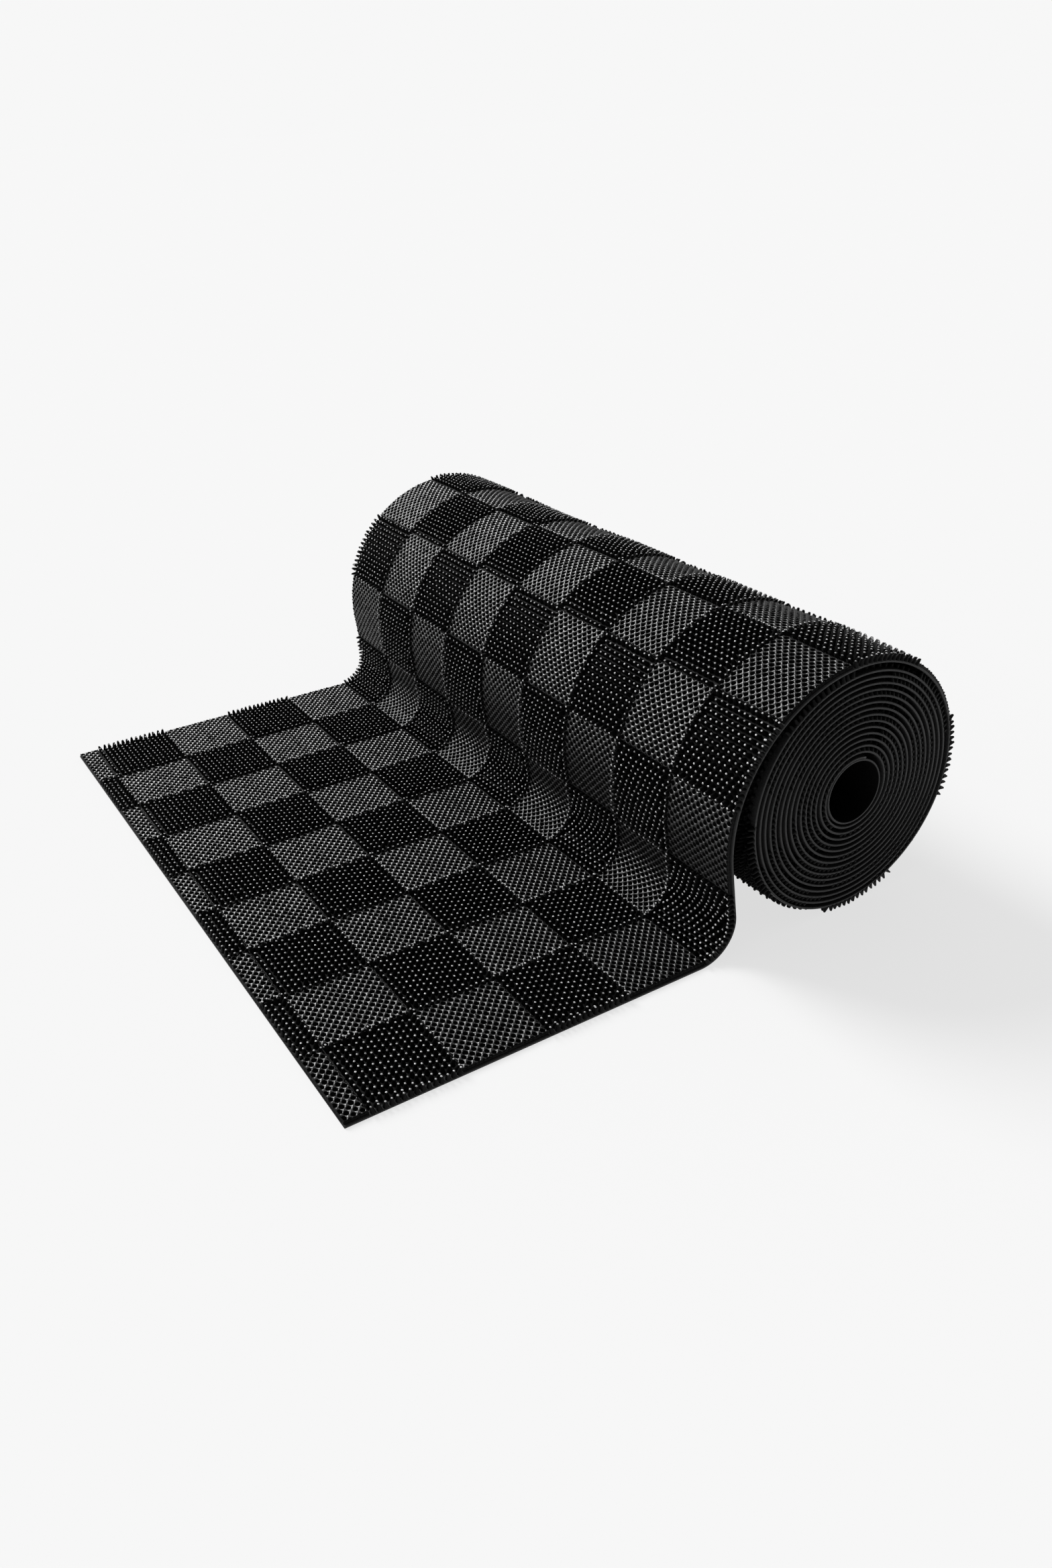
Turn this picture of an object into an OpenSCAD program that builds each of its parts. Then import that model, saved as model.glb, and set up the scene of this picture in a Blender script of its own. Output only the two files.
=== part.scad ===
// Bristle door mat, sold by the roll and partly unrolled.
// A plastic web carries a checkerboard of tiles, with tall pins in one and a low pierced pad in
// the next.
// The mat is followed along its own length: s runs from the free end, over the floor, up the
// front of the roll, over its top, down the back, under it and round the coil to the eye.
// h is the height above the web's underside, towards the pins, and y is the place across the mat.
// X points from the free end to the roll, Y along the roll, Z up. The origin is on the floor,
// under the middle of the whole mat.

/* [Tiles] */
// Side of one square tile
tile = 100; // [90:1:110]
// Tiles across the mat
columns = 9; // [5:2:9]
// Smooth margin outside the outer tiles
margin = 7; // [4:1:12]
// Clear web between a tile's block and the seam ahead of it or behind it
seam_gap = 2.6; // [2.4:0.1:4]
// Clear web between two blocks that lie side by side
side_gap = 1; // [0.5:0.1:2]

/* [Thickness] */
// Thickness of the web
web_t = 2.5; // [2:0.1:3]
// Height of the tall pins above the web
tall_h = 8.5; // [7:0.1:9.5]
// Height of the pierced pads above the web
pad_h = 5; // [4:0.1:6]
// How far the roll's weight presses the pins under it
crush = 1.5; // [1:0.1:2]
// Width of the seam bead between two courses
bead_w = 0.8; // [0.5:0.1:1.2]
// Height of the seam bead above the web
bead_h = 0.6; // [0.3:0.1:1]

/* [Loose end] */
// Length of the cut strip at the free end
strip_l = 27; // [10:1:60]
// Flat run from the first seam to the start of the toe bend
flat_l = 393; // [350:1:395]
// Radius of the toe bend at the underside
toe_r = 47; // [40:1:50]

/* [Roll] */
// Distance from the first seam to the roll's centre
roll_x = 600; // [590:1:620]
// Radius of the loose front of the outer turn at the underside
front_r = 168.5; // [160:0.5:175]
// Radius of the back of the outer turn at the underside
outer_r = 145.5; // [143:0.5:150]
// Radius of the second turn at the underside
coil_r = 140; // [138:0.5:140]
// Distance from one turn of the coil to the next
coil_pitch = 7.1; // [7:0.05:7.1]
// Half turns in the coil, from under the roll to the top of the core ring
half_turns = 29; // [29:2:29]
// Radius of the eye through the middle of the roll
eye_r = 36.5; // [30:0.5:36.5]
// How far the web's inner end laps past the top of the core ring, in degrees
lap_angle = 18; // [10:1:30]

/* [Hidden] */
// Clearance between two turns of the coil and between the core ring and the coil
slack = 0.2;
// How one stretch of the path is set into the next
join_inset = 0.02;
join_lap = 0.3;
// Segments in a full circle
$fn = 128;
width = columns * tile + 2 * margin;
// The last course of tiles that is modelled block by block, behind the loose front of the roll
last_course = 15;
course_colour = ["#2f2f31", "#29292b"];
tall_colour = "#141416";
pad_colour = "#47474b";

// Underside of the outer turn at the top of the roll
top_z = tall_h - crush + 2 * outer_r + web_t;
front_cz = top_z - front_r;
// The rise is the straight tangent between the toe bend and the front of the roll
centres = [roll_x - flat_l, front_cz - toe_r];
toe_turn = atan2(centres.y, centres.x) + asin((toe_r + front_r) / norm(centres));
rise_l = sqrt(norm(centres) * norm(centres) - (toe_r + front_r) * (toe_r + front_r));
core_turn_r = coil_r - (half_turns - 1) * coil_pitch / 2;
coil_half = [for (k = [0 : half_turns - 2]) [-(coil_r - k * coil_pitch / 2), 180]];

// The mat's path: [0, length] is straight, [radius, angle] bends towards the pins,
// and [-radius, angle] bends away from them. Radii are at the underside.
PATH = concat(
    [[0, strip_l + flat_l], [toe_r, toe_turn], [0, rise_l], [-front_r, toe_turn], [-outer_r, 180]],
    coil_half,
    [[-core_turn_r, 180 + lap_angle]]
);

function run_of(p) = p[0] == 0 ? p[1] : abs(p[0]) * p[1] * PI / 180;
function left(a) = [-sin(a), cos(a)];
function next_place(at, a, p) =
    p[0] == 0 ? at + p[1] * [cos(a), sin(a)]
    : at + p[0] * (left(a) - left(a + sign(p[0]) * p[1]));
function next_heading(a, p) = p[0] == 0 ? a : a + sign(p[0]) * p[1];
// One row for each stretch of the path: [s at its start, place at its start, heading there]
function starts(i = 0, s = 0, at = [-strip_l, 0], a = 0) =
    i == len(PATH) ? []
    : concat([[s, at, a]],
        starts(i + 1, s + run_of(PATH[i]), next_place(at, a, PATH[i]), next_heading(a, PATH[i])));
START = starts();

// s where the coil's own web and squeezed pins begin and end
coil_start = strip_l + last_course * tile;
coil_end = START[len(PATH) - 1][0] + run_of(PATH[len(PATH) - 1]);
pile_end = START[len(PATH) - 1][0] + core_turn_r * PI;
// The core ring hangs inside the top of the coil's last half turn
core_z = START[len(PATH) - 1][1].y + 2 * core_turn_r - eye_r - web_t;

// Middle of the whole mat along X
mid_x = (roll_x + outer_r + web_t + tall_h - strip_l) / 2;

// Part of the mat from s0 to s1, from h0 to h1 above the underside, from y0 to y1.
// Joined parts overlap: every other stretch is join_inset thinner on both faces and runs join_lap
// into the stretches beside it. Parts that aren't joined stop join_inset short of where they meet.
module band(s0, s1, h0, h1, y0, y1, joined = true) {
    for (i = [0 : len(PATH) - 1]) {
        begin = START[i][0];
        end = begin + run_of(PATH[i]);
        inner = joined && i % 2 == 1;
        grow = inner ? join_lap : joined ? 0 : -join_inset;
        inset = inner ? join_inset : 0;
        from = s0 < begin ? -grow : s0 - begin;
        to = s1 > end ? end - begin + grow : s1 - begin;
        if (s0 < end - join_lap && s1 > begin + join_lap) {
            translate([START[i][1].x - mid_x, 0, START[i][1].y])
                if (PATH[i][0] == 0) straight_band(START[i][2], from, to, h0 + inset, h1 - inset, y0, y1);
                else round_band(PATH[i][0], START[i][2], from, to, h0 + inset, h1 - inset, y0, y1);
        }
    }
}

module straight_band(a, from, to, h0, h1, y0, y1) {
    rotate([0, -a, 0])
        translate([from, y0 - width / 2, h0])
            cube([to - from, y1 - y0, h1 - h0]);
}

module round_band(r, a, from, to, h0, h1, y0, y1) {
    centre = r * left(a);
    side = sign(r);
    sweep = (to - from) / abs(r) * 180 / PI;
    first = a - side * 90 + side * from / abs(r) * 180 / PI;
    low = min(abs(r) - side * h0, abs(r) - side * h1);
    translate([centre.x, 0, centre.y])
        rotate([90, 0, 0])
            rotate([0, 0, side > 0 ? first : first - sweep])
                rotate_extrude(angle = sweep)
                    translate([low, width / 2 - y1])
                        square([h1 - h0, y1 - y0]);
}

function course_start(i) = i == 0 ? 0 : strip_l + (i - 1) * tile;
function course_end(i) = strip_l + i * tile;

// Web of one course of tiles, with the raised bead where it joins the course before it
module course_web(i) {
    bead = course_start(i) + bead_w / 4;
    color(course_colour[i % 2]) {
        band(course_start(i), course_end(i), 0, web_t, 0, width);
        if (i > 0) band(bead, bead + bead_w, web_t / 2, web_t + bead_h, margin, width - margin);
    }
}

// Blocks that fill the tiles of one course, for its tall pins or for its pads
module course_blocks(i, tall) {
    lead = i == 0 ? side_gap : seam_gap;
    color(tall ? tall_colour : pad_colour)
        for (j = [0 : columns - 1])
            if ((i + j) % 2 == (tall ? 1 : 0))
                band(course_start(i) + lead, course_end(i) - seam_gap,
                    web_t, web_t + (tall ? tall_h : pad_h),
                    margin + j * tile + side_gap, margin + (j + 1) * tile - side_gap, false);
}

// The same blocks where the roll's weight has pressed them flat on the floor
module pressed_blocks(i, tall) {
    intersection() {
        course_blocks(i, tall);
        translate([-width, -width, 0]) cube(2 * width);
    }
}

// Web of the coil, one solid for each half turn
module coil_web() {
    color(course_colour[0]) band(coil_start, coil_end, 0, web_t, 0, width, false);
}

// Pins and pads squeezed between the turns of the coil
module coil_pile() {
    color(tall_colour)
        band(coil_start + seam_gap, pile_end, web_t, coil_pitch - slack, margin, width - margin, false);
}

// Innermost turn, closed on itself round the eye
module core_ring() {
    color(course_colour[1])
        translate([roll_x - mid_x, 0, core_z])
            rotate([90, 0, 0])
                difference() {
                    cylinder(r = eye_r + web_t - slack / 4, h = width, center = true);
                    cylinder(r = eye_r, h = width + 2, center = true);
                }
}

course_web(0);  // free_end_web
course_blocks(0, true);  // free_end_tall_pins
course_blocks(0, false);  // free_end_short_pads
course_web(1);  // course_01_web
course_blocks(1, true);  // course_01_tall_pins
course_blocks(1, false);  // course_01_short_pads
course_web(2);  // course_02_web
course_blocks(2, true);  // course_02_tall_pins
course_blocks(2, false);  // course_02_short_pads
course_web(3);  // course_03_web
course_blocks(3, true);  // course_03_tall_pins
course_blocks(3, false);  // course_03_short_pads
course_web(4);  // course_04_web
course_blocks(4, true);  // course_04_tall_pins
course_blocks(4, false);  // course_04_short_pads
course_web(5);  // course_05_web
course_blocks(5, true);  // course_05_tall_pins
course_blocks(5, false);  // course_05_short_pads
course_web(6);  // course_06_web
course_blocks(6, true);  // course_06_tall_pins
course_blocks(6, false);  // course_06_short_pads
course_web(7);  // course_07_web
course_blocks(7, true);  // course_07_tall_pins
course_blocks(7, false);  // course_07_short_pads
course_web(8);  // course_08_web
course_blocks(8, true);  // course_08_tall_pins
course_blocks(8, false);  // course_08_short_pads
course_web(9);  // course_09_web
course_blocks(9, true);  // course_09_tall_pins
course_blocks(9, false);  // course_09_short_pads
course_web(10);  // course_10_web
course_blocks(10, true);  // course_10_tall_pins
course_blocks(10, false);  // course_10_short_pads
course_web(11);  // course_11_web
course_blocks(11, true);  // course_11_tall_pins
course_blocks(11, false);  // course_11_short_pads
course_web(12);  // course_12_web
course_blocks(12, true);  // course_12_tall_pins
course_blocks(12, false);  // course_12_short_pads
course_web(13);  // course_13_web
pressed_blocks(13, true);  // course_13_tall_pins
pressed_blocks(13, false);  // course_13_short_pads
course_web(14);  // course_14_web
course_blocks(14, true);  // course_14_tall_pins
course_blocks(14, false);  // course_14_short_pads
course_web(15);  // course_15_web
course_blocks(15, true);  // course_15_tall_pins
course_blocks(15, false);  // course_15_short_pads
coil_web();
coil_pile();
core_ring();
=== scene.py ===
# Bristle door mat, partly unrolled: the visual model, built on the fixed CAD frame.
# The mat is followed by s, the length from the free end, h, the height above the web's
# underside, and y, the place across the mat. Sizes are in millimetres until they reach a mesh.
import math

import bpy
import numpy as np
from mathutils import Matrix, Vector


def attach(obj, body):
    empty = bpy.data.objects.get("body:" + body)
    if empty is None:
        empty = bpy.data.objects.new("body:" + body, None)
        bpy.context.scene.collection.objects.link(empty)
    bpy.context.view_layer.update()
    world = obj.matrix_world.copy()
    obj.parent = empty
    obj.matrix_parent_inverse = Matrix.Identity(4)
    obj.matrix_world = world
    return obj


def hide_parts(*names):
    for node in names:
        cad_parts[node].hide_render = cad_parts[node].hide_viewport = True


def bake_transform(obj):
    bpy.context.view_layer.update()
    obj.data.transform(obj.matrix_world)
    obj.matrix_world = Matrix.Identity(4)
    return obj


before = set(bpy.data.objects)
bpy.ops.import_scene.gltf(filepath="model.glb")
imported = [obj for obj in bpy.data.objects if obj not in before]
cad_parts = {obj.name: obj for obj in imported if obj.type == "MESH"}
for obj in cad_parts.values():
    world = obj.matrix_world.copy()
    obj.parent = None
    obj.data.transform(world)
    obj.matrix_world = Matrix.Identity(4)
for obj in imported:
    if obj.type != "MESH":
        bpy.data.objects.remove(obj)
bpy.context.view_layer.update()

rng = np.random.default_rng(7)

# ---------------------------------------------------------------- the mat's sizes

TILE = 100.0         # a tile's side, and a course's length
COLUMNS = 9
MARGIN = 7.0         # the smooth strip along each long edge
WIDTH = COLUMNS * TILE + 2 * MARGIN
WEB = 2.5            # the web's thickness
TALL = 8.5           # height of the tall pins above the web
SHORT = 5.0          # height of the pads above the web
STRIP = 27.0         # what is left of the course that the free end cuts
CRUSH = 1.5          # how far the pins under the roll are pressed down
FLAT = 393.0         # from the first seam to the toe's bend
TOE_R = 47.0
ROLL_X = 600.0       # from the first seam to the roll's middle
FRONT_R = 168.5      # the outer turn's front, which stands off the coil
OUTER_R = 145.5      # the rest of the outer turn
COIL_R = 140.0       # the coil's first half turn
PITCH = 7.1          # from turn to turn
HALF_TURNS = 29
EYE_R = 36.5
LAP_ANGLE = 18.0     # how far the inner end laps past the top of the inner ring, in degrees
LAST_COURSE = 15
MID_X = (ROLL_X + OUTER_R + WEB + TALL - STRIP) / 2

# ---------------------------------------------------------------- the mat's path

TOP_Z = TALL - CRUSH + 2 * OUTER_R + WEB
CX, CZ = ROLL_X - FLAT, TOP_Z - FRONT_R - TOE_R
REACH = math.hypot(CX, CZ)
TURN = math.atan2(CZ, CX) + math.asin((TOE_R + FRONT_R) / REACH)
RISE = math.sqrt(REACH ** 2 - (TOE_R + FRONT_R) ** 2)
CORE_R = COIL_R - (HALF_TURNS - 1) * PITCH / 2

PATH = [(0, STRIP + FLAT), (TOE_R, TURN), (0, RISE), (-FRONT_R, TURN), (-OUTER_R, math.pi)]
PATH += [(-(COIL_R - k * PITCH / 2), math.pi) for k in range(HALF_TURNS - 1)]
PATH += [(-CORE_R, math.pi + math.radians(LAP_ANGLE))]


def left(a):
    """The unit vector at a left turn from the heading a."""
    return np.array([-np.sin(a), np.cos(a)])


starts = []
s, at, a = 0.0, np.array([-STRIP, 0.0]), 0.0
for r, length in PATH:
    starts.append((s, at, a))
    if r == 0:
        at = at + length * np.array([math.cos(a), math.sin(a)])
        s += length
    else:
        turned = a + math.copysign(length, r)
        at = at + r * (left(a) - left(turned))
        a = turned
        s += abs(r) * length
S_END = s
S_START = np.array([row[0] for row in starts])
BOTTOM_S = starts[5][0]      # under the roll, where the outer turn goes under the coil
TOP_S = starts[6][0]         # the second turn's top
SECOND_S = starts[7][0]      # the second turn's bottom
COIL_S = STRIP + LAST_COURSE * TILE      # where the courses end and the coil's pieces begin
CORE_Z = starts[-1][1][1] + 2 * CORE_R - EYE_R - WEB


def place(s):
    """x, z on the web's underside at s, and the heading there."""
    s = np.asarray(s, float)
    i = np.clip(np.searchsorted(S_START, s, side="right") - 1, 0, len(PATH) - 1)
    x, z, head = np.zeros_like(s), np.zeros_like(s), np.zeros_like(s)
    for k in np.unique(i):
        m = i == k
        r = PATH[k][0]
        s0, p0, a0 = starts[k]
        u = s[m] - s0
        if r == 0:
            x[m] = p0[0] + u * math.cos(a0)
            z[m] = p0[1] + u * math.sin(a0)
            head[m] = a0
        else:
            a1 = a0 + math.copysign(1, r) * u / abs(r)
            p = p0[:, None] + r * (left(a0)[:, None] - left(a1))
            x[m], z[m], head[m] = p[0], p[1], a1
    return x, z, head


# Each wave's height, its lengths across and along the mat divided by 2 pi, and its phase
WAVES = [(0.9, 118, 95, 0.0), (0.7, 61, -140, 1.3), (0.5, 37, 53, 0.4)]
WAVE_BEGINS, WAVE_IN = 440, 80
WAVE_ENDS, WAVE_OUT = 1120, 120


def wave(s, y):
    """How far the free outer turn stands off its true path: a slow waviness, none on the floor."""
    on = np.clip((s - WAVE_BEGINS) / WAVE_IN, 0, 1) * np.clip((WAVE_ENDS - s) / WAVE_OUT, 0, 1)
    on = on * on * (3 - 2 * on)
    return on * sum(a * np.sin(y / b + s / c + d) for a, b, c, d in WAVES)


def points(s, h, y):
    """x, y, z in metres of the points at s, h and y."""
    x, z, head = place(s)
    h = h + wave(s, y)
    return np.stack([x - h * np.sin(head) - MID_X, y, z + h * np.cos(head)], -1) / 1000


# ---------------------------------------------------------------- mesh helpers

TOP_PAINTED_HIGHLIGHT = 0.35       # a face is a top if the painted-highlight values of all its points are over this


def new_mesh(name, verts, quads, tris, mats, mat_index=None, painted_highlight=None):
    """An object from arrays: quads and triangles, smooth. The painted-highlight values are given per vertex:
    how much painted highlight lightens the colour there. Where there are two materials, the tops, which carry
    it, are in the second."""
    mesh = bpy.data.meshes.new(name)
    quads = np.asarray(quads, np.int32).reshape(-1, 4)
    tris = np.asarray(tris, np.int32).reshape(-1, 3)
    if painted_highlight is not None and len(mats) == 2:
        mat_index = np.concatenate([painted_highlight[quads].min(axis=1), painted_highlight[tris].min(axis=1)]) > TOP_PAINTED_HIGHLIGHT
    mesh.vertices.add(len(verts))
    mesh.vertices.foreach_set("co", np.asarray(verts, np.float32).ravel())
    loops = np.concatenate([quads.ravel(), tris.ravel()])
    mesh.loops.add(len(loops))
    mesh.loops.foreach_set("vertex_index", loops)
    count = len(quads) + len(tris)
    mesh.polygons.add(count)
    begin = np.concatenate([np.arange(len(quads)) * 4, len(quads) * 4 + np.arange(len(tris)) * 3])
    mesh.polygons.foreach_set("loop_start", begin.astype(np.int32))
    mesh.polygons.foreach_set("use_smooth", np.ones(count, bool))
    if mat_index is not None:
        mesh.polygons.foreach_set("material_index", np.asarray(mat_index, np.int32))
    mesh.update(calc_edges=True)
    mesh.validate()
    # Each point's painted-highlight value, which the tops' material turns into a painted highlight
    if painted_highlight is not None:
        layer = mesh.attributes.new("painted_highlight", "FLOAT", "POINT")
        layer.data.foreach_set("value", np.asarray(painted_highlight, np.float32))
    for m in mats:
        mesh.materials.append(m)
    obj = bpy.data.objects.new(name, mesh)
    bpy.context.collection.objects.link(obj)
    return obj


EDGE, CORNER = 0.45, 0.13      # the long edges of the web are rounded in two steps


def web_profile(spans):
    """A ring of (y, h) points round the web's section, with spans points across each face."""
    half = WIDTH / 2
    tiled = np.linspace(-half + MARGIN, half - MARGIN, spans - 2)
    inner = np.concatenate([[-half + EDGE], tiled, [half - EDGE]])
    ring = [(y, WEB) for y in inner]
    ring += [(half - CORNER, WEB - CORNER), (half, WEB - EDGE), (half, EDGE), (half - CORNER, CORNER)]
    ring += [(y, 0.0) for y in inner[::-1]]
    ring += [(-half + CORNER, CORNER), (-half, EDGE), (-half, WEB - EDGE), (-half + CORNER, WEB - CORNER)]
    return ring


def strip_mesh(name, stations, spans, mats):
    """The web swept along s, as a closed solid. The pins' face between the long margins is in the
    first material, and everything else is in the second."""
    profile = web_profile(spans)
    n, m = len(stations), len(profile)
    s = np.repeat(stations, m)
    y = np.tile([p[0] for p in profile], n)
    h = np.tile([p[1] for p in profile], n)
    verts = points(s, h, y)
    i, j = np.meshgrid(np.arange(n - 1), np.arange(m), indexing="ij")
    k = (j + 1) % m
    quads = np.stack([i * m + j, i * m + k, (i + 1) * m + k, (i + 1) * m + j], -1).reshape(-1, 4)
    # The ends are closed with a fan round an added middle point
    middle = [points(np.array([stations[e]]), np.array([WEB / 2]), np.array([0.0]))[0] for e in (0, -1)]
    verts = np.vstack([verts, middle])
    ring = np.arange(m)
    first = np.stack([np.full(m, n * m), (ring + 1) % m, ring], -1)
    last = np.stack([np.full(m, n * m + 1), (n - 1) * m + ring, (n - 1) * m + (ring + 1) % m], -1)
    sides = np.where((j.ravel() > 0) & (j.ravel() < spans - 2), 0, 1)
    index = np.concatenate([sides, np.ones(2 * m, int)])
    return new_mesh(name, verts, quads, np.vstack([first, last]), mats, index)


# ---------------------------------------------------------------- pins

SIDES, SQUEEZED_SIDES = 8, 6
# The short kind is only used inside the roll, where the pads are squeezed and hardly seen
RINGS = {
    # share of the base radius, share of the height, and the painted-highlight value
    "tall": [(1.12, -0.04, 0), (0.98, 0.14, 0), (0.72, 0.55, 0), (0.46, 0.89, 0), (0.41, 0.93, 1),
             (0.24, 0.985, 1)],
    "short": [(1.10, -0.06, 0), (1.00, 0.10, 0), (0.92, 0.62, 0.1), (0.84, 0.86, 0.8), (0.52, 0.97, 1)],
}
BASE = {"tall": (3.40, 2.75), "short": (2.70, 2.75)}      # radii across the mat and along it
HEIGHT = {"tall": TALL, "short": SHORT}
LEAN = {"tall": 0.05, "short": 0.03}       # random lean, as a share of the height
SPLAY = {"tall": 0.50, "short": 0.06}      # how far the pins at a tile's sides lean outward
SPLAY_REACH = 6.5                          # how far in from a side they lean
RIM_SPLAY = 0.3                            # the share of that lean left beyond the tiles' sides
PLACE_SPREAD, SIZE_SPREAD = 0.16, 0.03     # how much the pins' places and sizes vary
SHORTFALL = 0.07                           # the largest share of its height that a pin may lack
HOOK = (0.5, 1.2)                          # how strongly single pins take the outward lean
PAINTED_SHINE = (0.42, 1.0)                        # the range of each tall pin's painted-highlight strength on its tip
CURVE = 1.4                                # a leaning pin bends more towards its tip
FLOOR_GAP = 0.05                           # pins under the roll stop this far above the floor

TALL_ROWS, SHORT_ROWS = 15, 21
TALL_PITCH, TALL_FIRST = 9.1, 4.4          # spacing of the tall pins in a row, and the first one's place
ROW_SHIFT, SHIFT_ROWS = 2.8, 13            # each row's shift, and the rows after which it comes round again
SHORT_PITCH, SHORT_FIRST, SHORT_SHIFT = 10.0, 2.6, 4.9      # the same, with every other row shifted
SIDE_GAP, SHORT_SIDE_GAP = 3.6, 2          # room left beside the pins at a tile's sides
TALL_INSET, PAD_INSET = 1.6, 0.5
OVERHANG = 4.2       # how far the outer tiles' pins and pads reach on to the smooth margins
FIRST_S = 1.8        # no pin stands nearer to the free end


def courses(s_from, s_to):
    """The courses between s_from and s_to, and the s at which each begins. The free end is course 0."""
    first = int(max(0, math.floor((s_from - STRIP) / TILE) + 1))
    return [(i, STRIP + (i - 1) * TILE) for i in range(first, int((s_to - STRIP) // TILE) + 2)]


def tile_sides(j, inset):
    """The range of y that column j's pins or pad fill, from the tile's near side."""
    low = -OVERHANG if j == 0 else inset
    high = TILE + OVERHANG if j == COLUMNS - 1 else TILE - inset
    return low, high


def lattice(i, j):
    """Places of the pins in one tile: s from the course's start and y from the tile's near side."""
    if (i + j) % 2:
        r, c = np.meshgrid(np.arange(TALL_ROWS), np.arange(-5, 13), indexing="ij")
        y = (c * TALL_PITCH + TALL_FIRST - ROW_SHIFT * (r % SHIFT_ROWS)
             + TALL_PITCH * ((r * ROW_SHIFT) // TALL_PITCH))
        s = (r + 0.5) * TILE / TALL_ROWS
        low, high = tile_sides(j, TALL_INSET)
        keep = (y > low + SIDE_GAP) & (y < high - SIDE_GAP)
        # Every row has a pin beside each side of its tile
        side_s = np.repeat(s[:, 0], 2)
        side_y = np.tile([low, high], TALL_ROWS)
        return np.append(s[keep], side_s), np.append(y[keep], side_y)
    r, c = np.meshgrid(np.arange(SHORT_ROWS), np.arange(10), indexing="ij")
    y = SHORT_FIRST + SHORT_PITCH * c + SHORT_SHIFT * (r % 2)
    s = (r + 0.5) * TILE / SHORT_ROWS
    keep = y < TILE - SHORT_SIDE_GAP
    return s[keep], y[keep]


def pin_places(s_from, s_to, kind, rim=None):
    """All the pins of a kind whose foot is between s_from and s_to, with the outward lean of those at
    their tile's sides. Columns: s, y, lean along s, lean along y. rim keeps only those that are
    nearer than that to a long edge."""
    rows = []
    for i, begin in courses(s_from, s_to):
        for j in range(COLUMNS):
            if ((i + j) % 2 == 1) != (kind == "tall"):
                continue
            s, y = lattice(i, j)
            lean = [np.clip((q - TILE + SPLAY_REACH) / SPLAY_REACH, 0, 1)
                    - np.clip((SPLAY_REACH - q) / SPLAY_REACH, 0, 1) for q in (s, y)]
            lean[1] = np.where((y < 0) | (y > TILE), RIM_SPLAY, 1.0) * lean[1]
            s, y = s + begin, y + MARGIN + j * TILE - WIDTH / 2
            keep = (s >= max(s_from, FIRST_S)) & (s < s_to)
            if rim:
                keep &= np.abs(y) > WIDTH / 2 - rim
            rows.append(np.stack([s, y, lean[0] * SPLAY[kind], lean[1] * SPLAY[kind]], -1)[keep])
    return np.concatenate(rows)


# On the free outer turn, at the second turn's top, and from its bottom on
NO_LIMIT, ROOM_TOP, ROOM_COIL = 99.0, 8.2, 4.35


def room(s):
    """The most a pin can stand up where the next turn lies over it."""
    t = np.clip((s - TOP_S) / (SECOND_S - TOP_S), 0, 1)
    return np.where(s < BOTTOM_S, NO_LIMIT, ROOM_TOP + (ROOM_COIL - ROOM_TOP) * t)


def pins(name, places, kind, mats, sides=SIDES):
    """One mesh of tapered pins that stand on the web, one for each row of places."""
    n = len(places)
    s, y, splay_s, splay_y = places.T
    rings = RINGS[kind]
    m = len(rings)
    phi = np.arange(sides) * 2 * math.pi / sides
    s = s + rng.normal(0, PLACE_SPREAD, n)
    y = y + rng.normal(0, PLACE_SPREAD, n)
    size = 1 + rng.normal(0, SIZE_SPREAD, n)
    height = np.minimum(HEIGHT[kind] * (1 + rng.uniform(-SHORTFALL, 0.0, n)), room(s))
    hook = rng.uniform(*HOOK, n)
    lean_s = splay_s * hook + rng.normal(0, LEAN[kind], n)
    lean_y = splay_y * hook + rng.normal(0, LEAN[kind], n)
    x0, z0, head = place(s)
    t = np.stack([np.cos(head), np.zeros(n), np.sin(head)], -1)
    up = np.stack([-np.sin(head), np.zeros(n), np.cos(head)], -1)
    across = np.array([0.0, 1.0, 0.0])
    # Each tall pin's painted highlight on its tip has a random strength
    painted_shine = rng.uniform(*PAINTED_SHINE, n) if kind == "tall" else np.ones(n)
    foot = np.stack([x0 - MID_X, y, z0], -1) + up * (WEB + wave(s, y))[:, None]
    a, b = BASE[kind]
    verts = np.zeros((n, m * sides + 1, 3))
    painted_highlight = np.zeros((n, m * sides + 1))
    for k, (radius, share, painted_level) in enumerate(rings):
        h = share * height
        bent = np.maximum(share, 0) ** CURVE * height
        mid = (foot + up * h[:, None] + t * (bent * lean_s)[:, None]
               + across * (bent * lean_y)[:, None])
        for q in range(sides):
            verts[:, k * sides + q] = (
                mid + t * (b * radius * size * math.cos(phi[q]))[:, None]
                + across * (a * radius * size * math.sin(phi[q]))[:, None])
            painted_highlight[:, k * sides + q] = painted_level * painted_shine
    verts[:, -1] = (foot + up * height[:, None] + t * (height * lean_s)[:, None]
                    + across * (height * lean_y)[:, None])
    painted_highlight[:, -1] = painted_shine
    verts[..., 2] = np.maximum(verts[..., 2], FLOOR_GAP)
    count = m * sides + 1
    q = np.arange(sides)
    q2 = (q + 1) % sides
    side = np.concatenate([
        np.stack([k * sides + q, k * sides + q2, (k + 1) * sides + q2, (k + 1) * sides + q], -1)
        for k in range(m - 1)])
    cap = np.stack([(m - 1) * sides + q, (m - 1) * sides + q2, np.full(sides, count - 1)], -1)
    under = np.stack([(q[1:-1] + 1), q[1:-1], np.zeros(sides - 2, int)], -1)
    step = (np.arange(n) * count)[:, None, None]
    quads = (side[None] + step).reshape(-1, 4)
    tris = (np.concatenate([cap, under])[None] + step).reshape(-1, 3)
    return new_mesh(name, verts.reshape(-1, 3) / 1000, quads, tris, mats, painted_highlight=painted_highlight.ravel())


# ---------------------------------------------------------------- the short tiles' pierced pads

PAD_ROWS, PAD_COLUMNS = 21, 20
CELL_S, CELL_Y = TILE / PAD_ROWS, TILE / PAD_COLUMNS      # half the spacing of the holes, each way
HOLE_S, HOLE_Y = 2.60, 3.15                # the holes' radii
NODE, BRIDGE = SHORT, SHORT - 1.35         # the pad is highest where four holes' walls meet
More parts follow.
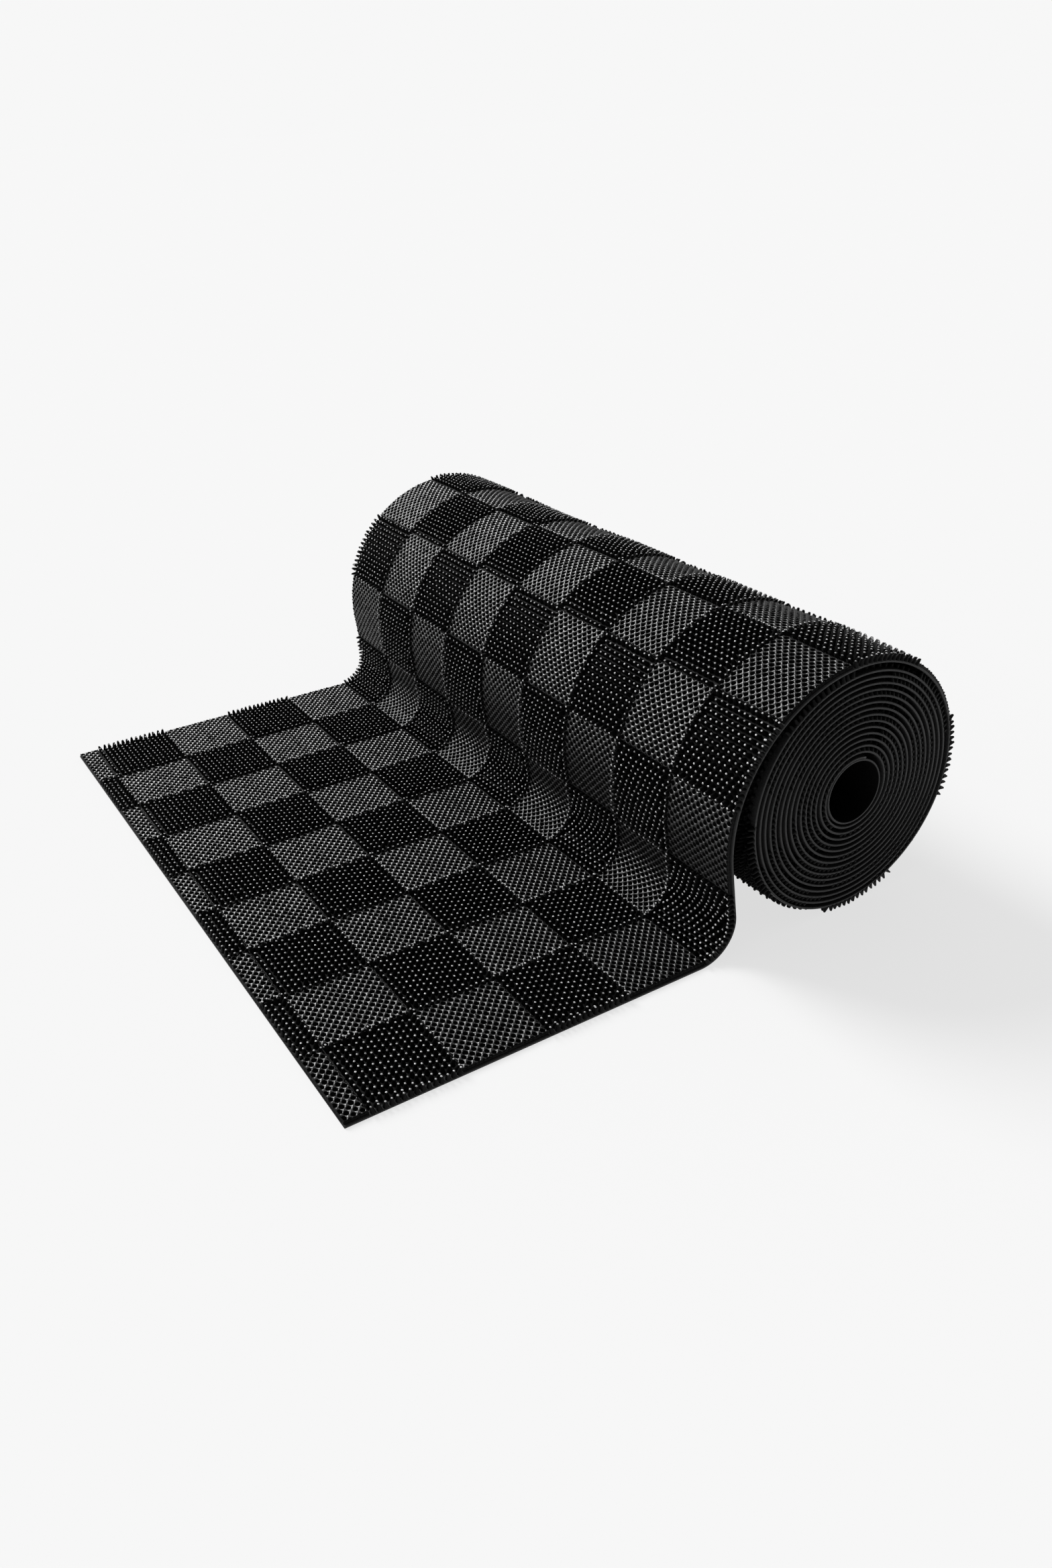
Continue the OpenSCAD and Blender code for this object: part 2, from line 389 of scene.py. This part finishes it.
# A hole's rings from its mouth down: share of its radii, height, and the painted-highlight value, full only
# at the mouth so that the walls below stay dark
MOUTH = [(1.04, SHORT - 1.45, 1.0), (0.98, SHORT - 1.80, 0.1), (0.90, 0.30, 0.0)]
STEPS = 3                                  # points along each side of a cell
AROUND = 4 * STEPS
WALL = 0.7                                 # the wall round a hole that a tile's side cuts
PAD_END = 0.9                              # how far a pad stops short of its course's ends
CUT_PAINTED_HIGHLIGHT = 0.3                              # painted-highlight value of a cut wall: too low for the top colour, so it stays dark with no painted highlight
CUT_DOWN = (0.3, 1.5)                      # and how much lower it is
FLARE, SUNK = 0.35, 0.15                   # a pad's foot spreads out, and sinks into the web
SQUEEZED = 0.02                            # twice the area of a face too small to keep
# How single holes and the walls' outline vary: the spread, and its two limits
HOLE_SIZES, HOLE_SHAPES = (0.05, -0.12, 0.07), (0.05, -0.1, 0.1)
HOLE_PLACES, WALL_PLACES = (0.16, -0.3, 0.3), (0.12, -0.25, 0.25)


def varied(size, spread, low, high):
    """Normal random numbers that stay between low and high."""
    return np.clip(rng.normal(0, spread, size), low, high)


def pad_layout(lo, hi, j):
    """The lozenge cells, one round each hole, whose middles are between lo and hi in a tile. Returns
    the middles, the shared outline points (s, y, h), their index per cell, and the outer edges."""
    sides = range(-1 if j == 0 else 0, PAD_COLUMNS + (2 if j == COLUMNS - 1 else 1))
    # 0.1 mm more, to keep the row whose middles are on the course's last seam
    cells = [(r, q) for r in range(PAD_ROWS + 1) for q in sides
             if (r + q) % 2 == 0 and lo <= r * CELL_S < hi + 0.1]
    have = set(cells)
    corner = [(CELL_S, 0.0), (0.0, CELL_Y), (-CELL_S, 0.0), (0.0, -CELL_Y)]
    across = [(1, 1), (-1, 1), (-1, -1), (1, -1)]
    outline, known, index, rim = [], {}, [], []
    for r, q in cells:
        row = []
        for e in range(4):
            a, b = corner[e], corner[(e + 1) % 4]
            for step in range(STEPS):
                f = step / STEPS
                s = r * CELL_S + a[0] + (b[0] - a[0]) * f
                y = q * CELL_Y + a[1] + (b[1] - a[1]) * f
                key = (round(s, 3), round(y, 3))
                if key not in known:
                    known[key] = len(outline)
                    outline.append((s, y, NODE if step == 0 else BRIDGE))
                row.append(known[key])
        for e in range(4):
            if (r + across[e][0], q + across[e][1]) not in have:
                rim += [(row[STEPS * e + n], row[(STEPS * e + n + 1) % AROUND], across[e])
                        for n in range(STEPS)]
        index.append(row)
    return np.array(cells) * [CELL_S, CELL_Y], np.array(outline), np.array(index), rim


def pad_tile(lo, hi, j, start):
    """One tile's pad from start on: points (s, y, h), painted-highlight values, quads and triangles."""
    middle, outline, index, rim = pad_layout(lo, hi, j)
    n, count = len(middle), len(outline)
    towards = outline[index[0], :2] - middle[0]
    turn = np.arctan2(towards[:, 1] / HOLE_Y, towards[:, 0] / HOLE_S)
    oval = np.stack([HOLE_S * np.cos(turn), HOLE_Y * np.sin(turn)], -1)
    size = 1 + varied(n, *HOLE_SIZES)
    shift = varied((n, 2), *HOLE_PLACES)
    stretch = 1 + varied((n, 1, 2), *HOLE_SHAPES)
    rings = len(MOUTH)
    inner = np.zeros((n, rings * AROUND + 1, 3))
    for k, (share, h, painted_level) in enumerate(MOUTH):
        ring = inner[:, k * AROUND:(k + 1) * AROUND]
        ring[..., :2] = (middle + shift)[:, None] + oval[None] * stretch * (share * size)[:, None, None]
        ring[..., 2] = h
    inner[:, -1, :2] = middle + shift
    inner[:, -1, 2] = MOUTH[-1][1]
    outline = outline + varied((count, 3), *WALL_PLACES)
    outline[:, 2] = np.minimum(outline[:, 2], NODE)
    low, high = tile_sides(j, PAD_INSET)
    cut = ((outline[:, 0] < start + PAD_END) | (outline[:, 0] > TILE - PAD_END)
           | (outline[:, 1] < low) | (outline[:, 1] > high))
    outline[cut, 2] -= rng.uniform(*CUT_DOWN, cut.sum())
    for part, wall in ((outline, 0.0), (inner, WALL)):
        part[..., 0] = np.clip(part[..., 0], start + PAD_END + wall, TILE - PAD_END - wall)
        part[..., 1] = np.clip(part[..., 1], low + wall, high - wall)
    feet = np.array([[outline[v][0] + FLARE * d[0], outline[v][1] + FLARE * d[1], -SUNK]
                     for a, b, d in rim for v in (a, b)])
    verts = np.vstack([outline, inner.reshape(-1, 3), feet])
    painted_levels = np.append(np.repeat([m[2] for m in MOUTH], AROUND), 0.0)
    # Painted highlight: full on the pad's top, low on a cut wall and down the holes, none on the feet
    painted_highlight = np.concatenate([np.where(cut, CUT_PAINTED_HIGHLIGHT, 1.0), np.tile(painted_levels, n), np.zeros(len(feet))])
    q = np.arange(AROUND)
    q2 = (q + 1) % AROUND
    base = (count + np.arange(n) * len(painted_levels))[:, None]
    quads = [np.stack([index, index[:, q2], base + q2, base + q], -1)]
    for k in range(rings - 1):
        o = base + k * AROUND
        quads.append(np.stack([o + q, o + q2, o + AROUND + q2, o + AROUND + q], -1))
    last = base + (rings - 1) * AROUND
    bottom = np.broadcast_to(base + rings * AROUND, (n, AROUND))
    tris = np.stack([last + q, last + q2, bottom], -1)
    foot = count + n * len(painted_levels)
    walls = [(foot + 2 * k, foot + 2 * k + 1, b, a) for k, (a, b, _) in enumerate(rim)]
    quads = np.vstack([part.reshape(-1, 4) for part in quads] + [np.array(walls)])
    # Faces that a tile's side has squeezed flat are left out
    a, b, c, d = (verts[quads[:, k]] for k in range(4))
    quads = quads[np.linalg.norm(np.cross(c - a, d - b), axis=1) > SQUEEZED]
    return verts, painted_highlight, quads, tris.reshape(-1, 3)


def pads(name, s_from, s_to, mats):
    """One mesh of all the short tiles' pads between s_from and s_to."""
    verts, painted_highlights, quads, tris, count = [], [], [], [], 0
    for i, begin in courses(s_from, s_to):
        lo, hi, start = s_from - begin, s_to - begin, 0.0
        if i == 0:
            # The free end cuts its tiles short, and opens the holes whose middles are just beyond it
            lo, start = lo - 2, TILE - STRIP
        if lo > TILE - 1 or hi < 1:
            continue
        for j in range(COLUMNS):
            if (i + j) % 2:
                continue
            v, painted_highlight, quad, tri = pad_tile(lo, hi, j, start)
            s, y = v[:, 0] + begin, v[:, 1] + MARGIN + j * TILE - WIDTH / 2
            verts.append(points(s, WEB + v[:, 2], y))
            painted_highlights.append(painted_highlight)
            quads.append(quad + count)
            tris.append(tri + count)
            count += len(v)
    return new_mesh(name, np.vstack(verts), np.vstack(quads), np.vstack(tris), mats,
                    painted_highlight=np.concatenate(painted_highlights))


# ---------------------------------------------------------------- materials

def material(name):
    """A new material, with its nodes, its links and its shader."""
    m = bpy.data.materials.new(name)
    m.use_nodes = True
    nodes, links = m.node_tree.nodes, m.node_tree.links
    return m, nodes, links, nodes["Principled BSDF"]


def noise(nodes, links, scale, detail=4.0):
    """Noise fixed to the object: scale is in lumps to a metre."""
    coords = nodes.new("ShaderNodeTexCoord")
    n = nodes.new("ShaderNodeTexNoise")
    n.inputs["Scale"].default_value = scale
    n.inputs["Detail"].default_value = detail
    links.new(coords.outputs["Object"], n.inputs["Vector"])
    return n.outputs["Fac"]


def ramp(nodes, links, fac, low, high, a, b):
    """A value that goes from a to b as fac goes from low to high."""
    r = nodes.new("ShaderNodeMapRange")
    r.inputs["From Min"].default_value = low
    r.inputs["From Max"].default_value = high
    r.inputs["To Min"].default_value = a
    r.inputs["To Max"].default_value = b
    links.new(fac, r.inputs["Value"])
    return r.outputs["Result"]


def mixed(nodes, links, fac, dark, light):
    """A colour that goes from dark to light as fac goes from 0 to 1."""
    mix = nodes.new("ShaderNodeMix")
    mix.data_type = "RGBA"
    links.new(fac, mix.inputs["Factor"])
    mix.inputs["A"].default_value = (*dark, 1)
    mix.inputs["B"].default_value = (*light, 1)
    return mix.outputs["Result"]


def bumped(nodes, links, shader, fac, distance, strength):
    """Relief on a shader: distance is in metres."""
    bump = nodes.new("ShaderNodeBump")
    bump.inputs["Strength"].default_value = strength
    bump.inputs["Distance"].default_value = distance
    links.new(fac, bump.inputs["Height"])
    links.new(bump.outputs["Normal"], shader.inputs["Normal"])


def web_material():
    """The pins' face of the web: dark satin plastic with a fine grain and cloudy gloss."""
    m, nodes, links, shader = material("moulded_web")
    fine = noise(nodes, links, 900)
    cloud = noise(nodes, links, 22, 3)
    tone = mixed(nodes, links, fine, (0.003, 0.003, 0.003), (0.007, 0.007, 0.007))
    links.new(tone, shader.inputs["Base Color"])
    links.new(ramp(nodes, links, cloud, 0.3, 0.7, 0.50, 0.62), shader.inputs["Roughness"])
    shader.inputs["Specular IOR Level"].default_value = 0.08
    bumped(nodes, links, shader, fine, 0.0002, 0.35)
    return m


def plain_material(name, dark, light, rough, specular):
    """Dull moulded plastic with a mottled tone, for all but the pins' face of the web and the tops."""
    m, nodes, links, shader = material(name)
    fine = noise(nodes, links, 500)
    cloud = noise(nodes, links, 14, 3)
    tone = mixed(nodes, links, ramp(nodes, links, fine, 0.3, 0.7, 0, 1), dark, light)
    links.new(tone, shader.inputs["Base Color"])
    links.new(ramp(nodes, links, cloud, 0.3, 0.7, rough - 0.06, rough + 0.08), shader.inputs["Roughness"])
    shader.inputs["Specular IOR Level"].default_value = specular
    bumped(nodes, links, shader, fine, 0.0002, 0.3)
    return m


def painted_top_material(name, tone, rough, specular):
    """The tops of pins and pads: speckled, and as light as the painted-highlight attribute says, which paints
    a highlight into their colour.
    """
    m, nodes, links, shader = material(name)
    attribute = nodes.new("ShaderNodeAttribute")
    attribute.attribute_name = "painted_highlight"
    speck = ramp(nodes, links, noise(nodes, links, 1500, 2), 0.35, 0.62, 0, 1)
    # Where the painted-highlight value is 0 the top keeps the flanks' dark colour; towards 1 it is lightened
    # as a painted highlight
    base = nodes.new("ShaderNodeMix")
    base.data_type = "RGBA"
    links.new(attribute.outputs["Fac"], base.inputs["Factor"])
    base.inputs["A"].default_value = (0.003, 0.003, 0.003, 1)
    links.new(mixed(nodes, links, speck, [c * 0.45 for c in tone], [c * 1.4 for c in tone]), base.inputs["B"])
    links.new(base.outputs["Result"], shader.inputs["Base Color"])
    links.new(ramp(nodes, links, speck, 0, 1, rough + 0.05, rough - 0.03), shader.inputs["Roughness"])
    shader.inputs["Specular IOR Level"].default_value = specular
    bumped(nodes, links, shader, speck, 0.0001, 0.3)
    return m


WEB_MAT = web_material()
# Dark and light tone, roughness, and specular level
# The eye's lining is darker than the rest of the ring: painted shade inside the eye
EYE_SHADE_MAT = plain_material("eye_lining_painted_shade", (0.001, 0.001, 0.001), (0.003, 0.003, 0.003), 0.60, 0.03)
COIL_MAT = plain_material("squeezed_pin_plastic", (0.001, 0.001, 0.001), (0.005, 0.005, 0.005), 0.60, 0.08)
EDGE_MAT = plain_material("cut_edge", (0.012, 0.012, 0.012), (0.026, 0.026, 0.0265), 0.50, 0.25)
SEAM_MAT = plain_material("seam_line", (0.004, 0.004, 0.004), (0.010, 0.010, 0.010), 0.50, 0.15)
FLANK_MAT = plain_material("pin_flank_plastic", (0.0015, 0.0015, 0.0015), (0.004, 0.004, 0.0041), 0.52, 0.10)
# Tone, roughness, and specular level. The tone is a painted highlight on the tall pins' tips, and partly
# wear, partly painted sheen on the pads' tops
TALL_MATS = [FLANK_MAT, painted_top_material("tall_pin_tips_painted_highlight", (0.78, 0.78, 0.785), 0.32, 0.5)]
PAD_MATS = [FLANK_MAT, painted_top_material("short_pad_tops_wear_and_painted_sheen", (0.018, 0.018, 0.0183), 0.33, 0.9)]

# ---------------------------------------------------------------- the pieces

LAST_FLAT = STRIP + 3.5 * TILE       # the roll's own pieces start in the middle of the fourth course
HINGES = [STRIP + k * TILE for k in range(4)]
PART = {"tall": "tall_pins", "short": "short_pads"}      # the nodes of a course
SEAM_OFFSET = 0.2                    # from a seam to its bead
FLAT_STEP, TURN_STEP = 4.0, 3.0      # spacing of the web's stations along s
FLAT_SPANS, TURN_SPANS, COIL_SPANS = 24, 40, 8
COIL_STATIONS = 1700


def nodes_of(course, part):
    prefix = "free_end" if course == 0 else f"course_{course:02d}"
    return f"{prefix}_{part}"


def mount(obj, where, replaced):
    """Put a piece on the roll, or, where a hinge's number is given, apply its transform and leave it
    where it was built. replaced are the nodes that it stands for, which are hidden."""
    if where == "roll":
        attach(obj, "roll")
    else:
        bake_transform(obj)
    if replaced:
        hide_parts(*replaced)


def seam_bead(name, s0):
    """The thin raised line where one course joins the next."""
    profile = [(0.0, WEB - 0.3), (0.05, WEB + 0.35), (0.35, WEB + 0.6), (0.75, WEB + 0.6),
               (1.05, WEB + 0.35), (1.1, WEB - 0.3)]
    ys = np.linspace(-WIDTH / 2 + MARGIN, WIDTH / 2 - MARGIN, 5 * COLUMNS + 1)
    m, n = len(profile), len(ys)
    s = np.tile([s0 + p[0] for p in profile], n)
    h = np.tile([p[1] for p in profile], n)
    verts = points(s, h, np.repeat(ys, m))
    i, j = np.meshgrid(np.arange(n - 1), np.arange(m), indexing="ij")
    k = (j + 1) % m
    quads = np.stack([i * m + j, (i + 1) * m + j, (i + 1) * m + k, i * m + k], -1).reshape(-1, 4)
    fan = [(0, q, q + 1) for q in range(1, m - 1)]
    end = [((n - 1) * m, (n - 1) * m + q + 1, (n - 1) * m + q) for q in range(1, m - 1)]
    return new_mesh(name, verts, quads, fan + end, [SEAM_MAT])


def pins_or_pads(prefix, s0, s1, kind):
    """The tall tiles' pins or the short tiles' pads between s0 and s1."""
    name = f"{prefix}_{PART[kind]}"
    if kind == "tall":
        return pins(name, pin_places(s0, s1, kind), kind, TALL_MATS)
    return pads(name, s0, s1, PAD_MATS)


# The flat end: one group of pieces round each hinge
ENDS = [0.0] + [s + TILE / 2 for s in HINGES]
for k in range(4):
    s0, s1 = ENDS[k], ENDS[k + 1]
    stations = np.linspace(s0, s1, int((s1 - s0) / FLAT_STEP) + 1)
    leaf = strip_mesh(f"leaf_{k}_web", stations, FLAT_SPANS, [WEB_MAT, EDGE_MAT])
    mount(leaf, k, [nodes_of(k, "web")])
    mount(seam_bead(f"leaf_{k}_seam", HINGES[k] + SEAM_OFFSET), k, [])
    for kind, part in PART.items():
        mount(pins_or_pads(f"leaf_{k}", s0, s1, kind), k, [nodes_of(k, part)])

# The toe, the rise and the outer turn
stations = np.arange(LAST_FLAT, COIL_S + 1, TURN_STEP)
stations[-1] = COIL_S
web = strip_mesh("outer_turn_web", stations, TURN_SPANS, [WEB_MAT, EDGE_MAT])
mount(web, "roll", [nodes_of(c, "web") for c in range(4, LAST_COURSE + 1)])
for c in range(4, LAST_COURSE):
    mount(seam_bead(f"seam_{c:02d}", STRIP + c * TILE + SEAM_OFFSET), "roll", [])

# Their pins and pads, two courses to a piece; those of courses 14 and 15 lie inside the roll
GROUPS = [(LAST_FLAT, STRIP + 5 * TILE, (4, 5))]
GROUPS += [(STRIP + (c - 1) * TILE, STRIP + (c + 1) * TILE, (c, c + 1)) for c in (6, 8, 10, 12)]
for g, (s0, s1, group) in enumerate(GROUPS):
    for kind, part in PART.items():
        mount(pins_or_pads(f"roll_{g}", s0, s1, kind), "roll", [nodes_of(c, part) for c in group])

# Inside the roll, only the pins near the mat's long edges can be seen
INNER_RIM, COIL_RIM = 80, 34
for kind, part in PART.items():
    places = pin_places(STRIP + 13 * TILE, COIL_S, kind, rim=INNER_RIM)
    obj = pins(f"inner_{kind}_pins", places, kind, [COIL_MAT], sides=SQUEEZED_SIDES)
    mount(obj, "roll", [nodes_of(c, part) for c in (14, 15)])

# The coil
stations = np.linspace(COIL_S, S_END, COIL_STATIONS)
coil = strip_mesh("coil_web_strip", stations, COIL_SPANS, [EDGE_MAT, EDGE_MAT])
mount(coil, "roll", ["coil_web"])
COIL_MIDDLE_S = (COIL_S + S_END) / 2
PINLESS_END = 20     # the lapped inner end has no pins
for kind in PART:
    for name, s0, s1 in (("outer", COIL_S, COIL_MIDDLE_S), ("inner", COIL_MIDDLE_S, S_END - PINLESS_END)):
        places = pin_places(s0, s1, kind, rim=COIL_RIM)
        obj = pins(f"{name}_coil_{kind}_pins", places, kind, [COIL_MAT], sides=SQUEEZED_SIDES)
        mount(obj, "roll", ["coil_pile"] if kind == "tall" else [])


def core_ring():
    """The innermost turn, closed on itself."""
    turns, spans = 96, 5
    half, e = WIDTH / 2, 0.4
    inner_r, outer_r = EYE_R, EYE_R + WEB
    ys = np.linspace(-half + e, half - e, spans)
    ring = [(y, outer_r) for y in ys] + [(half, outer_r - e), (half, inner_r + e)]
    ring += [(y, inner_r) for y in ys[::-1]] + [(-half, inner_r + e), (-half, outer_r - e)]
    ring = np.array(ring)
    m = len(ring)
    r = np.tile(ring[:, 1], turns)
    turned = np.repeat(np.arange(turns) * 2 * math.pi / turns, m)
    y = np.tile(ring[:, 0], turns)
    verts = np.stack([ROLL_X - MID_X + r * np.cos(turned), y, CORE_Z + r * np.sin(turned)], -1) / 1000
    i, j = np.meshgrid(np.arange(turns), np.arange(m), indexing="ij")
    i2, k = (i + 1) % turns, (j + 1) % m
    quads = np.stack([i * m + j, i2 * m + j, i2 * m + k, i * m + k], -1).reshape(-1, 4)
    # The sides that face the eye are darker: painted shade inside the eye
    lining = (j.ravel() > spans) & (j.ravel() < spans + 2 + spans)
    return new_mesh("inner_ring", verts, quads, [], [EDGE_MAT, EYE_SHADE_MAT], lining.astype(int))


mount(core_ring(), "roll", ["core_ring"])

# ---------------------------------------------------------------- floor, light and camera

def floor():
    """A plain pale floor, wide enough for its edges to be out of sight."""
    mesh = bpy.data.meshes.new("floor")
    size = 40.0
    corners = [(-size, -size, 0), (size, -size, 0), (size, size, 0), (-size, size, 0)]
    mesh.from_pydata(corners, [], [(0, 1, 2, 3)])
    obj = bpy.data.objects.new("floor", mesh)
    bpy.context.collection.objects.link(obj)
    m, _, _, shader = material("floor_paper")
    shader.inputs["Base Color"].default_value = (0.27, 0.27, 0.27, 1)
    shader.inputs["Roughness"].default_value = 0.9
    shader.inputs["Specular IOR Level"].default_value = 0.0
    # Lit a little from below, as a light table is, so that shadows on it stay faint
    shader.inputs["Emission Color"].default_value = (1, 1, 1, 1)
    shader.inputs["Emission Strength"].default_value = 0.70
    mesh.materials.append(m)


def sun(name, direction, spread, strength):
    """A far soft box: even over the whole floor, with soft shadows. spread is its width in degrees."""
    light = bpy.data.lights.new(name, "SUN")
    light.angle = math.radians(spread)
    light.energy = strength
    obj = bpy.data.objects.new(name, light)
    bpy.context.collection.objects.link(obj)
    d = Vector(direction).normalized()
    obj.location = d * 4
    obj.rotation_mode = "QUATERNION"
    obj.rotation_quaternion = (-d).to_track_quat("-Z", "Y")


def studio(backdrop, low, high, near):
    """Even light from all round: low is its strength at the horizon, high overhead and behind the
    mat, and near in front of it. Seen directly, it is a plain backdrop from every side."""
    world = bpy.data.worlds.new("studio")
    world.use_nodes = True
    nodes, links = world.node_tree.nodes, world.node_tree.links
    coords = nodes.new("ShaderNodeTexCoord")
    split = nodes.new("ShaderNodeSeparateXYZ")
    links.new(coords.outputs["Generated"], split.inputs["Vector"])
    # Y goes from the front to the back, and Z up from the horizon
    upper = ramp(nodes, links, split.outputs["Y"], -0.5, 0.6, near, high)
    blend = nodes.new("ShaderNodeMix")
    links.new(ramp(nodes, links, split.outputs["Z"], 0.06, 0.13, 0, 1), blend.inputs["Factor"])
    blend.inputs["A"].default_value = low
    links.new(upper, blend.inputs["B"])
    seen = nodes.new("ShaderNodeMix")
    links.new(nodes.new("ShaderNodeLightPath").outputs["Is Camera Ray"], seen.inputs["Factor"])
    links.new(blend.outputs["Result"], seen.inputs["A"])
    seen.inputs["B"].default_value = backdrop
    links.new(seen.outputs["Result"], nodes["Background"].inputs["Strength"])
    nodes["Background"].inputs["Color"].default_value = (1, 1, 1, 1)
    bpy.context.scene.world = world


floor()
sun("key", (-0.19, 0.78, 0.60), 30, 3.0)
studio(0.93, 0.70, 0.44, 0.14)
bpy.context.scene.view_settings.view_transform = "Standard"

# The camera looks down over the free end's near corner, from in front of it
camera = bpy.data.objects.new("camera", bpy.data.cameras.new("camera"))
bpy.context.collection.objects.link(camera)
camera.data.lens = 28.81
camera.data.sensor_width = 36.0
camera.data.clip_end = 200
forward = Vector((0.45376, 0.75035, -0.48071)).normalized()
right = Vector((0.84529, -0.53320, -0.03437)).normalized()
above = right.cross(forward).normalized()
camera.matrix_world = Matrix((
    (right.x, above.x, -forward.x, -0.68544),
    (right.y, above.y, -forward.y, -1.28918),
    (right.z, above.z, -forward.z, 0.82847),
    (0, 0, 0, 1)))
bpy.context.scene.camera = camera
